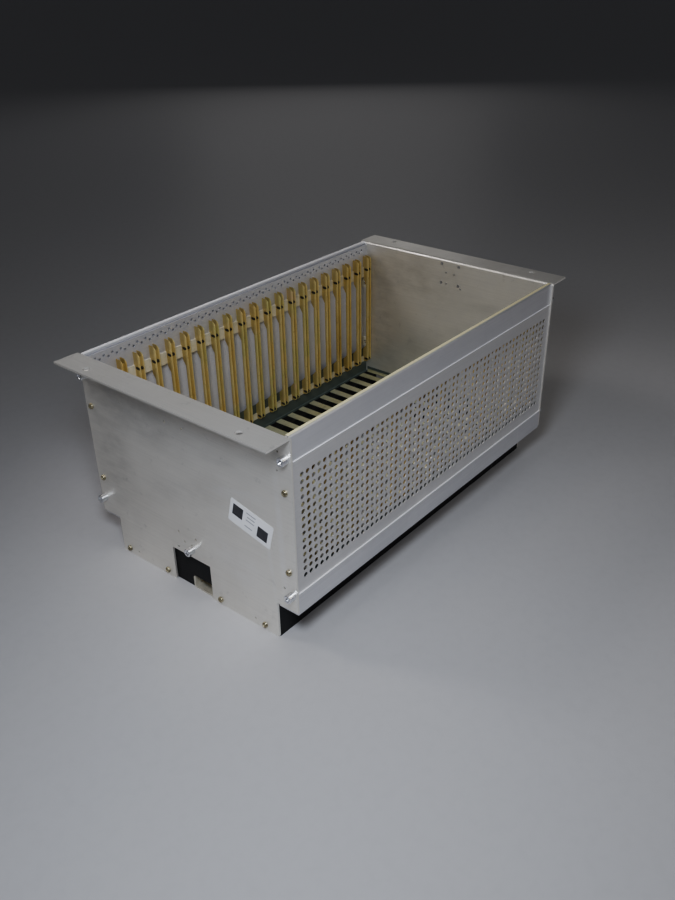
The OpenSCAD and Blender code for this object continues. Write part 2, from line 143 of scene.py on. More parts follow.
class Graph:
    """A material's node tree, with short calls for the nodes that the finishes share."""

    NOISE_ROUGHNESS = 0.6

    def __init__(self, name: str) -> None:
        """Starts a material with one Principled shader.

        Args:
            name: The material's name.
        """
        self.material = bpy.data.materials.new(name)
        self.material.use_nodes = True
        self.tree = self.material.node_tree
        self.shader = self.tree.nodes["Principled BSDF"]
        self.place = self.add("ShaderNodeTexCoord").outputs["Object"]

    def add(self, kind: str, inputs: dict[Any, Any] | None = None, **settings: Any) -> bpy.types.Node:
        """Adds one node.

        Args:
            kind: Blender's name of the node type.
            inputs: Values or sockets by the input's name or index.
            **settings: Properties of the node itself.

        Returns:
            The new node.
        """
        node = self.tree.nodes.new(kind)
        for key, value in settings.items():
            setattr(node, key, value)
        for key, value in (inputs or {}).items():
            self.feed(node.inputs[key], value)
        return node

    def feed(self, socket: bpy.types.NodeSocket, value: Any) -> None:
        """Sets an input to a value, or links it to another node's output.

        Args:
            socket: The input.
            value: A number, a colour, a vector or an output socket.
        """
        if isinstance(value, bpy.types.NodeSocket):
            self.tree.links.new(value, socket)
        elif isinstance(value, tuple) and socket.type == "RGBA":
            socket.default_value = (*value[:3], 1.0)
        else:
            socket.default_value = value

    def noise(self, scale: float, detail: float = 4.0, stretch: Sequence[float] = (1.0, 1.0, 1.0),
              turn: Sequence[float] = (0.0, 0.0, 0.0), warp: float = 0.0) -> bpy.types.NodeSocket:
        """A noise value over the surface.

        Args:
            scale: Features per metre, roughly.
            detail: Number of finer layers.
            stretch: Scale along each axis, under 1 to draw the noise out.
            turn: Rotation of the pattern, in radians.
            warp: How far the noise is distorted.

        Returns:
            The socket with the noise value.
        """
        vector = self.add("ShaderNodeMapping", {"Vector": self.place, "Scale": tuple(stretch),
                                                "Rotation": tuple(turn)}).outputs[0]
        return self.add("ShaderNodeTexNoise", {"Vector": vector, "Scale": scale, "Detail": detail,
                                               "Roughness": self.NOISE_ROUGHNESS,
                                               "Distortion": warp}).outputs[0]

    def span(self, value: Any, low: float, high: float, to_low: float = 0.0,
             to_high: float = 1.0) -> bpy.types.NodeSocket:
        """Maps a value from one span to another, held at both ends.

        Args:
            value: The socket to map.
            low: Start of the span that comes in.
            high: End of the span that comes in.
            to_low: Result at low.
            to_high: Result at high.

        Returns:
            The socket with the mapped value.
        """
        return self.add("ShaderNodeMapRange", {"Value": value, "From Min": low, "From Max": high,
                                               "To Min": to_low, "To Max": to_high}).outputs[0]

    def math(self, operation: str, a: Any, b: Any) -> bpy.types.NodeSocket:
        """One arithmetic step.

        Args:
            operation: Blender's name of the operation.
            a: First value or socket.
            b: Second value or socket.

        Returns:
            The socket with the result.
        """
        return self.add("ShaderNodeMath", {0: a, 1: b}, operation=operation).outputs[0]

    def mix(self, factor: Any, a: Any, b: Any, blend: str = "MIX") -> bpy.types.NodeSocket:
        """Mixes two colours.

        Args:
            factor: Share of the second colour.
            a: First colour or socket.
            b: Second colour or socket.
            blend: Blender's name of the blend type.

        Returns:
            The socket with the mixed colour.
        """
        node = self.add("ShaderNodeMix", {0: factor, 6: a, 7: b}, data_type="RGBA", blend_type=blend)
        return node.outputs[2]

    def ramp(self, value: Any, stops: Sequence[tuple[float, Colour]]) -> bpy.types.NodeSocket:
        """Turns a value into a colour.

        Args:
            value: The socket to look up.
            stops: Places from 0 to 1 with their colours.

        Returns:
            The socket with the colour.
        """
        node = self.add("ShaderNodeValToRGB", {0: value})
        elements = node.color_ramp.elements
        while len(elements) < len(stops):
            elements.new(0.5)
        for element, (place, colour) in zip(elements, stops):
            element.position = place
            element.color = (*colour, 1.0)
        return node.outputs[0]

    def part_of_place(self, axis: int) -> bpy.types.NodeSocket:
        """One coordinate of the surface point, in metres, by the number of its axis."""
        return self.add("ShaderNodeSeparateXYZ", {0: self.place}).outputs[axis]

    def beside(self) -> bpy.types.NodeSocket:
        """The distance of the surface point from the plane through the middle, across the rack."""
        return self.math("ABSOLUTE", self.part_of_place(1), 0.0)

    def above(self, level: float, blur: float) -> bpy.types.NodeSocket:
        """A mask of what lies above a level.

        Args:
            level: The height in metres.
            blur: Height over which the mask rises from 0 to 1.

        Returns:
            The socket with the mask.
        """
        return self.span(self.part_of_place(2), level - blur, level)

    def smear(self, spot: Smear) -> bpy.types.NodeSocket:
        """A soft streaky mask on an end plate.

        Args:
            spot: Where the smear lies and how strong it is.

        Returns:
            The socket with the mask.
        """
        along = (math.cos(spot.angle), math.sin(spot.angle))
        y = self.math("SUBTRACT", self.part_of_place(1), spot.y)
        z = self.math("SUBTRACT", self.part_of_place(2), spot.z)
        masks = []
        for (cy, cz), reach in ((along, spot.length / 2), ((-along[1], along[0]), spot.width / 2)):
            way = self.math("ADD", self.math("MULTIPLY", y, cy), self.math("MULTIPLY", z, cz))
            off = self.math("ABSOLUTE", way, 0.0)
            masks.append(self.span(off, spot.core * reach, reach, 1.0, 0.0))
        mask = self.math("MULTIPLY", masks[0], masks[1])
        noise = self.noise(spot.streak_scale, stretch=spot.streak_stretch, turn=(spot.angle, 0.0, 0.0))
        streak = self.span(noise, *MIDDLE, spot.streak_floor)
        return self.math("MULTIPLY", self.math("MULTIPLY", mask, streak), spot.strength)

    def bump(self, height: Any, strength: float, distance: float) -> None:
        """Drives the shader's normal from a height.

        Args:
            height: The socket with the height.
            strength: Share of the effect.
            distance: Depth of the relief in metres.
        """
        node = self.add("ShaderNodeBump", {"Height": height, "Strength": strength,
                                           "Distance": distance})
        self.feed(self.shader.inputs["Normal"], node.outputs[0])


def shade(colour: Colour, share: float) -> Colour:
    """A colour, darkened to that share of its light."""
    return tuple(share * part for part in colour)


@dataclass(frozen=True)
class SheetFinish:
    """Dull aluminium, zinc or paint with rolling marks, cloudy patches, stains and fine scratches;
    where set, also a painted highlight along the top edge and smears of wear, soiling, painted sheen
    and painted shade.
    """

    name: str
    colour: Colour
    tint: Colour
    grain: Grain = Grain.NONE
    metallic: float = 0.9
    roughness: float = 0.45
    spread: float = 0.1
    cloud: float = 7.0
    scratches: float = 0.5
    stains: float = 0.3
    relief: float = 0.15
    relief_depth: float = 0.05 * MM
    grain_scale: float = 700.0
    grain_depth: float = 0.03
    grain_height: float = 0.6
    stain_scale: float = 95.0
    stain_cut: Span = (0.62, 0.74)
    stain_share: float = 0.45
    stain_shade: float = 0.45
    scratch_sets: tuple[ScratchSet, ...] = (
        ScratchSet(420.0, (0.03, 0.03, 1.0), (0.5, 0.35, 0.2), (0.66, 0.7)),
        ScratchSet(380.0, (1.0, 0.04, 0.04), (0.9, 0.3, 0.7), (0.67, 0.71)),
    )
    scratch_patch: float = 11.0
    scratch_patch_cut: Span = (0.42, 0.6)
    scratch_colour: Colour = (0.86, 0.86, 0.86)
    scratch_share: float = 0.35
    scratch_polish: float = 0.12
    scratch_height: float = 0.8
    # Painted highlight: a band just under the part's top, painted light, smoother and less metallic.
    top_highlight_depth: float | None = None
    top_highlight_blur: float = 0.3 * MM
    top_highlight_colour: Colour = (0.96, 0.96, 0.98)
    top_highlight_polish: float = 0.12
    top_highlight_metallic: float = 0.15
    # Smears: lighter ones of rubbed wear and painted sheen, darker ones of soiling and painted shade.
    rubbed_and_sheen: tuple[Smear, ...] = ()
    rubbed_and_sheen_colour: Colour = (0.95, 0.95, 0.96)
    soiled_and_shade: tuple[Smear, ...] = ()
    soiled_and_shade_share: float = 0.35

    def build(self, box: Corners) -> bpy.types.Material:
        """Makes the finish as a material.

        Args:
            box: Lowest and highest corner of what wears it.

        Returns:
            The material.
        """
        graph = Graph(self.name)
        cloud = graph.noise(self.cloud, 6.0, warp=0.4)
        fine = graph.noise(self.grain_scale, 3.0, stretch=self.grain.value)
        line = self.scratch_lines(graph)
        colour = self.colour_of(graph, cloud, fine, line)
        rough = graph.span(cloud, *BROAD, self.roughness - self.spread, self.roughness + self.spread)
        rough = graph.math("SUBTRACT", rough,
                           graph.math("MULTIPLY", line, self.scratch_polish * self.scratches))
        metallic: Any = self.metallic
        # Paints a highlight along the top edge.
        if self.top_highlight_depth is not None:
            edge = graph.above(box[1].z - self.top_highlight_depth, self.top_highlight_blur)
            colour = graph.mix(edge, colour, self.top_highlight_colour)
            rough = graph.math("SUBTRACT", rough, graph.math("MULTIPLY", edge, self.top_highlight_polish))
            metallic = graph.span(edge, 0.0, 1.0, self.metallic, self.top_highlight_metallic)
        graph.feed(graph.shader.inputs["Base Color"], colour)
        graph.feed(graph.shader.inputs["Roughness"], rough)
        graph.feed(graph.shader.inputs["Metallic"], metallic)
        height = graph.math("ADD", graph.math("MULTIPLY", fine, self.grain_height),
                            graph.math("MULTIPLY", line, self.scratch_height))
        graph.bump(height, self.relief, self.relief_depth)
        return graph.material

    def colour_of(self, graph: Graph, cloud: bpy.types.NodeSocket, fine: bpy.types.NodeSocket,
                  line: bpy.types.NodeSocket) -> bpy.types.NodeSocket:
        """The colour of the metal with its clouds, stains, rolling marks, scratches and smears; the
        smears carry wear and soiling, and also painted sheen and painted shade.

        Args:
            graph: The material's graph.
            cloud: The noise of the cloudy patches.
            fine: The noise of the rolling marks.
            line: The mask of the scratches.

        Returns:
            The socket with the colour.
        """
        base = graph.mix(graph.span(cloud, *MIDDLE), self.colour, self.tint)
        speck = graph.noise(self.stain_scale, 5.0, warp=0.3)
        dark = graph.span(speck, *self.stain_cut, 0.0, self.stain_share * self.stains)
        base = graph.mix(dark, base, shade(self.colour, self.stain_shade))
        value = graph.span(fine, *BROAD, 1 - self.grain_depth, 1 + self.grain_depth)
        grey = graph.add("ShaderNodeCombineColor", {0: value, 1: value, 2: value}).outputs[0]
        base = graph.mix(1.0, base, grey, "MULTIPLY")
        base = graph.mix(graph.math("MULTIPLY", line, self.scratch_share * self.scratches), base,
                         self.scratch_colour)
        # Lighter smears: rubbed wear and a painted sheen.
        for spot in self.rubbed_and_sheen:
            base = graph.mix(graph.smear(spot), base, self.rubbed_and_sheen_colour)
        # Darker smears: soiling and painted shade.
        for spot in self.soiled_and_shade:
            base = graph.mix(graph.smear(spot), base, shade(self.colour, self.soiled_and_shade_share))
        return base

    def scratch_lines(self, graph: Graph) -> bpy.types.NodeSocket:
        """Sparse fine scratches in two directions, in patches.

        Args:
            graph: The material's graph.

        Returns:
            The socket with 1 on a scratch and 0 elsewhere.
        """
        first, second = (graph.span(graph.noise(way.scale, 2.0, stretch=way.stretch, turn=way.turn),
                                    *way.cut) for way in self.scratch_sets)
        patch = graph.span(graph.noise(self.scratch_patch, 3.0), *self.scratch_patch_cut)
        return graph.math("MULTIPLY", graph.math("MAXIMUM", first, second), patch)


@dataclass(frozen=True)
class ChromateFinish:
    """Zinc plate under a yellow passivation, which drifts from straw to olive and pinkish brown; where
    set, painted shade darkens upstanding walls and the depth of a groove.
    """

    name: str
    stops: tuple[tuple[float, Colour], ...]
    roughness: float = 0.34
    smoother: float = 0.06
    rougher: float = 0.14
    metallic: float = 0.85
    drift: float = 22.0
    fleck_scale: float = 260.0
    fleck_cut: Span = (0.58, 0.72)
    fleck_share: float = 0.35
    fleck_shade: float = 0.4
    grit_scale: float = 900.0
    grit_relief: float = 0.12
    grit_depth: float = 0.05 * MM
    # Painted shade on the walls that stand up along the sides of a flat part.
    upstand_rise: float | None = None
    upstand_inset: float = 4.0 * MM
    upstand_blur: Span = (1.0 * MM, 1.5 * MM)
    upstand_shade_colour: Colour = (0.13, 0.16, 0.15)
    # Painted shade in a groove, darker away from its mouth.
    groove_inset: float | None = None
    groove_width: float = 3.2 * MM
    groove_shade_share: float = 0.62
    groove_shade_colour: Colour = (0.24, 0.15, 0.045)

    def build(self, box: Corners) -> bpy.types.Material:
        """Makes the finish as a material.

        Args:
            box: Lowest and highest corner of what wears it.

        Returns:
            The material.
        """
        graph = Graph(self.name)
        drift = graph.noise(self.drift, 5.0, warp=0.8)
        tone = graph.ramp(graph.span(drift, *BROAD), self.stops)
        fleck = graph.span(graph.noise(self.fleck_scale), *self.fleck_cut, 0.0, self.fleck_share)
        tone = graph.mix(fleck, tone, shade(self.stops[0][1], self.fleck_shade))
        # Paints shade on the upstanding walls.
        if self.upstand_rise is not None:
            tone = graph.mix(self.upstand_shade_mask(graph, box), tone, self.upstand_shade_colour)
        # Paints shade deeper in the groove.
        if self.groove_inset is not None:
            start = min(abs(corner.y) for corner in box) + self.groove_inset
            deep = graph.span(graph.beside(), start, start + self.groove_width, 0.0, self.groove_shade_share)
            tone = graph.mix(deep, tone, self.groove_shade_colour)
        rough = graph.span(drift, *BROAD, self.roughness - self.smoother, self.roughness + self.rougher)
        graph.feed(graph.shader.inputs["Base Color"], tone)
        graph.feed(graph.shader.inputs["Roughness"], rough)
        graph.feed(graph.shader.inputs["Metallic"], self.metallic)
        graph.bump(graph.noise(self.grit_scale, 2.0), self.grit_relief, self.grit_depth)
        return graph.material

    def upstand_shade_mask(self, graph: Graph, box: Corners) -> bpy.types.NodeSocket:
        """A mask of the walls that stand up from a flat part and run along its sides, where painted
        shade goes.

        Args:
            graph: The material's graph.
            box: Lowest and highest corner of the part.

        Returns:
            The socket with the mask.
        """
        side = max(abs(corner.y) for corner in box) - self.upstand_inset
        outside = graph.span(graph.beside(), side - self.upstand_blur[0], side)
        raised = graph.above(box[0].z + self.upstand_rise, self.upstand_blur[1])
        return graph.math("MAXIMUM", outside, raised)


@dataclass(frozen=True)
class PrintFinish:
    """Paper, ink or floor paint: a nearly flat colour with a faint fibre and a soft sheen."""

    name: str
    colour: Colour
    shade: Colour
    roughness: float = 0.45
    spread: float = 0.08
    fibre_scale: float = 1400.0
    fibre_relief: float = 0.1
    fibre_depth: float = 0.02 * MM
    soil_scale: float = 90.0
    soil_cut: Span = (0.45, 0.75)
    soil_share: float = 0.6

    def build(self, box: Corners) -> bpy.types.Material:
        """Makes the finish as a material.

        Args:
            box: Lowest and highest corner of what wears it; not used, as this finish is the same all
                over.

        Returns:
            The material.
        """
        graph = Graph(self.name)
        fibre = graph.noise(self.fibre_scale)
        soil = graph.span(graph.noise(self.soil_scale), *self.soil_cut, 0.0, self.soil_share)
        rough = graph.span(fibre, *BROAD, self.roughness - self.spread, self.roughness + self.spread)
        graph.feed(graph.shader.inputs["Base Color"], graph.mix(soil, self.colour, self.shade))
        graph.feed(graph.shader.inputs["Roughness"], rough)
        graph.bump(fibre, self.fibre_relief, self.fibre_depth)
        return graph.material


Finish = SheetFinish | ChromateFinish | PrintFinish

GOLD_STOPS = ((0.0, (0.66, 0.46, 0.16)), (0.35, (0.86, 0.66, 0.26)), (0.6, (0.88, 0.72, 0.33)),
              (0.8, (0.74, 0.68, 0.28)), (1.0, (0.90, 0.66, 0.38)))
# Lighter smears on the end plates: a scuff above the label and two rubbed streaks, then a broad painted
# sheen of floor light low on the -Y side.
RUBBED_AND_SHEEN = (
    Smear(-67 * MM, 136 * MM, 70 * MM, 14 * MM, math.radians(-12), 0.35),
    Smear(-116 * MM, 120 * MM, 150 * MM, 9 * MM, math.radians(88), 0.4),
    Smear(-104 * MM, 70 * MM, 110 * MM, 6 * MM, math.radians(84), 0.3),
    Smear(-60 * MM, 60 * MM, 90 * MM, 50 * MM, math.radians(20), 0.25),
)
# Darker smears on the end plates, soiling and painted shade: painted shade beside the upper standoff on
# the -Y side, and broad painted shade under the ear towards the top and the +Y side.
SOILED_AND_SHADE = (
    Smear(-118 * MM, 193 * MM, 18 * MM, 14 * MM, 0.0, 0.5),
    Smear(70 * MM, 180 * MM, 190 * MM, 80 * MM, math.radians(4), 0.3),
    Smear(100 * MM, 110 * MM, 190 * MM, 70 * MM, math.radians(84), 0.28),
    Smear(10 * MM, 110 * MM, 150 * MM, 40 * MM, math.radians(-20), 0.16),
    Smear(-45 * MM, 165 * MM, 60 * MM, 16 * MM, math.radians(-8), 0.2),
)

END_PLATE = SheetFinish("end_plate_metal", (0.87, 0.85, 0.795), (0.76, 0.735, 0.68), Grain.ALONG_Y,
                        metallic=0.7, roughness=0.44, cloud=5.0, scratches=0.8, stains=0.6,
                        rubbed_and_sheen=RUBBED_AND_SHEEN, soiled_and_shade=SOILED_AND_SHADE)
# The covers, rails and band get a painted highlight along their top edges; the right rail's painted
# highlight is golden.
COVER = SheetFinish("cover_metal", (0.75, 0.74, 0.73), (0.66, 0.655, 0.65), Grain.ALONG_X,
                    metallic=0.75, roughness=0.46, scratches=0.4, stains=0.2, top_highlight_depth=0.1 * MM)
LINER = SheetFinish("liner_metal", (0.74, 0.74, 0.79), (0.66, 0.66, 0.69), Grain.ALONG_X,
                    metallic=0.35, roughness=0.5, scratches=0.3, stains=0.15)
BAND = SheetFinish("rear_rail_metal", (0.76, 0.76, 0.78), (0.67, 0.67, 0.69), Grain.ALONG_X,
                   metallic=0.75, roughness=0.4, scratches=0.3, stains=0.15, top_highlight_depth=0.1 * MM)
LEFT_RAIL = SheetFinish("left_rail_metal", (0.76, 0.76, 0.80), (0.67, 0.67, 0.70), Grain.ALONG_X,
                        metallic=0.6, roughness=0.36, scratches=0.3, stains=0.15, top_highlight_depth=1.1 * MM)
RIGHT_RAIL = SheetFinish("right_rail_metal", (0.76, 0.76, 0.78), (0.67, 0.67, 0.69), Grain.ALONG_X,
                         metallic=0.75, roughness=0.38, scratches=0.3, stains=0.15,
                         top_highlight_depth=0.1 * MM, top_highlight_colour=(0.98, 0.90, 0.56))
FOOT = SheetFinish("foot_paint", (0.008, 0.008, 0.009), (0.016, 0.015, 0.015), Grain.NONE,
                   metallic=0.0, roughness=0.75, scratches=0.2, stains=0.2)
# The base's upstanding walls get a dark teal painted shade.
BASE = ChromateFinish("base_metal", ((0.0, (0.62, 0.60, 0.36)), (0.5, (0.78, 0.76, 0.52)),
                                     (1.0, (0.68, 0.70, 0.52))), roughness=0.38, drift=14.0,
                      metallic=0.4, upstand_rise=4.7 * MM)
# The guides get painted shade deep in their grooves.
GOLD = ChromateFinish("guide_chromate", GOLD_STOPS, metallic=0.35, drift=9.0, groove_inset=0.5 * MM)
STRIP = ChromateFinish("strip_chromate", ((0.0, (0.80, 0.72, 0.50)), (0.5, (0.90, 0.85, 0.68)),
                                          (1.0, (0.84, 0.76, 0.54))), roughness=0.36, metallic=0.4)
BEAM = ChromateFinish("beam_metal", ((0.0, (0.50, 0.47, 0.38)), (0.5, (0.70, 0.67, 0.58)),
                                     (1.0, (0.60, 0.56, 0.46))), roughness=0.4, metallic=0.6)
ZINC = SheetFinish("bright_zinc", (0.82, 0.83, 0.86), (0.72, 0.73, 0.76), metallic=0.95, roughness=0.24,
                   spread=0.06, scratches=0.2, stains=0.2)
SCREW = ChromateFinish("screw_zinc", ((0.0, (0.16, 0.14, 0.09)), (0.5, (0.42, 0.38, 0.26)),
                                      (1.0, (0.66, 0.62, 0.48))), roughness=0.22, drift=220.0)
# Black of the plugs that stand in as painted shade in the guides' ear holes.
EAR_HOLE_SHADE = SheetFinish("ear_hole_shade_black", (0.012, 0.011, 0.010), (0.03, 0.027, 0.022), metallic=0.0,
                  roughness=0.55, scratches=0.1, stains=0.1)
PAPER = PrintFinish("label_paper", (0.93, 0.94, 0.96), (0.84, 0.85, 0.87))
INK = PrintFinish("label_dark_field", (0.04, 0.04, 0.045), (0.08, 0.08, 0.09))
GREY_INK = PrintFinish("label_grey_field", (0.36, 0.37, 0.40), (0.45, 0.46, 0.48))
FLOOR = PrintFinish("floor_paint", (0.56, 0.555, 0.56), (0.53, 0.525, 0.53), roughness=0.5)


class Palette:
    """The finishes of the cage, each made once."""

    def __init__(self) -> None:
        """Starts with no material made."""
        self.made: dict[str, bpy.types.Material] = {}

    def get(self, finish: Finish, box: Corners | None = None) -> bpy.types.Material:
        """The material of a finish.

        Args:
            finish: The finish.
            box: Lowest and highest corner of what wears it, or none for the whole cage.

        Returns:
            Its material, made on the first call.
        """
        if finish.name not in self.made:
            self.made[finish.name] = finish.build(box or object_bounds())
        return self.made[finish.name]


def dress(node: bpy.types.Object, material: bpy.types.Material) -> None:
    """Gives a CAD node one material.

    Args:
        node: The node's object.
        material: The material for all its faces.
    """
    node.data.materials.clear()
    node.data.materials.append(material)


def new_piece(name: str, mesh: bmesh.types.BMesh, material: bpy.types.Material,
              smooth: bool = True) -> bpy.types.Object:
    """Makes an object of a finished mesh and lets it ride on the cage.

    Args:
        name: Name of the piece.
        mesh: The mesh, which is freed.
        material: Material for all faces.
        smooth: Whether the faces are shaded smooth, with sharp folds kept.

    Returns:
        The new object.
    """
    data = bpy.data.meshes.new(name)
    mesh.to_mesh(data)
    mesh.free()
    data.materials.append(material)
    if smooth:
        data.shade_smooth()
        data.set_sharp_from_angle(angle=FOLD_ANGLE)
    piece = bpy.data.objects.new(name, data)
    bpy.context.scene.collection.objects.link(piece)
    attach(piece, "root")
    return piece


def join_into(whole: bmesh.types.BMesh, part: bmesh.types.BMesh) -> None:
    """Adds a mesh to another.

    Args:
        whole: The mesh that grows.
        part: The mesh that is added, which is freed.
    """
    data = bpy.data.meshes.new("part")
    part.to_mesh(data)
    part.free()
    whole.from_mesh(data)
    bpy.data.meshes.remove(data)


def pushed_out(outline: Sequence[tuple[float, float, float]], way: Vector) -> bmesh.types.BMesh:
    """Makes a closed body by pushing a flat outline out along one way.

    Args:
        outline: The corners of the outline in order.
        way: How far and in which direction it is pushed.

    Returns:
        The mesh.
    """
    mesh = bmesh.new()
    face = mesh.faces.new([mesh.verts.new(point) for point in outline])
    raised = bmesh.ops.extrude_face_region(mesh, geom=[face])["geom"]
    verts = [item for item in raised if isinstance(item, bmesh.types.BMVert)]
    bmesh.ops.translate(mesh, verts=verts, vec=way)
    bmesh.ops.recalc_face_normals(mesh, faces=mesh.faces)
    return mesh


def lathe(profile: Sequence[tuple[float, float]], steps: int) -> bmesh.types.BMesh:
    """Turns a closed profile about the Z axis.

    Args:
        profile: Points as (radius, height), in metres, in order round the section.
        steps: Number of steps round the axis.

    Returns:
        The turned mesh.
    """
    mesh = bmesh.new()
    rings = []
    for step in range(steps):
        angle = 2 * math.pi * step / steps
        across, along = math.cos(angle), math.sin(angle)
        rings.append([mesh.verts.new((r * across, r * along, z)) for r, z in profile])
    for step in range(steps):
        here, there = rings[step], rings[(step + 1) % steps]
        for i in range(len(profile)):
            j = (i + 1) % len(profile)
            mesh.faces.new((here[i], there[i], there[j], here[j]))
    bmesh.ops.remove_doubles(mesh, verts=mesh.verts, dist=WELD)
    bmesh.ops.recalc_face_normals(mesh, faces=mesh.faces)
    return mesh


def solids_of(node: bpy.types.Object) -> list[tuple[Vector, Vector]]:
    """The boxes of the separate solids in a CAD node.

    Args:
        node: The node's object.

    Returns:
        The lowest and highest corner of each solid.
    """
    key_of = [tuple(round(c, MICRON_DIGITS) for c in v.co) for v in node.data.vertices]
    parent = {key: key for key in key_of}

    def root(key: tuple[float, ...]) -> tuple[float, ...]:
        """Follows a point to the first point of its solid.

        Args:
            key: The point.

        Returns:
            The first point.
        """
        while parent[key] != key:
            parent[key] = parent[parent[key]]
            key = parent[key]
        return key

    for edge in node.data.edges:
        parent[root(key_of[edge.vertices[0]])] = root(key_of[edge.vertices[1]])
    groups: dict[tuple[float, ...], list[tuple[float, ...]]] = {}
    for key in parent:
        groups.setdefault(root(key), []).append(key)
    boxes = []
    for points in groups.values():
        columns = list(zip(*points))
        boxes.append((Vector([min(c) for c in columns]), Vector([max(c) for c in columns])))
    return sorted(boxes, key=lambda box: tuple(box[0]))


@dataclass
class SheetMetal:
    """The end plates, covers, rails, strips and base, whose CAD shapes stay."""

    palette: Palette
    finishes: dict[str, Finish] = field(default_factory=lambda: {
        "end_plate": END_PLATE, "cover_right": COVER, "cover_left": LINER,
        "front_rail_right": RIGHT_RAIL, "front_rail_left": LEFT_RAIL, "rear_rail": BAND,
        "foot_rail": FOOT, "front_strip": STRIP, "rear_strip": STRIP, "slotted_base": BASE,
        "centre_beam": BEAM, "guide": GOLD, "standoffs": ZINC, "screws": SCREW,
    })

    def dress_all(self, nodes: dict[str, bpy.types.Object]) -> None:
        """Dresses every CAD node by the start of its name.

        Args:
            nodes: The nodes by name.
        """
        for name, node in nodes.items():
            finish = next(self.finishes[key] for key in self.finishes if name.startswith(key))
            dress(node, self.palette.get(finish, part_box(name)))
            LOG.info("%s wears %s", name, finish.name)


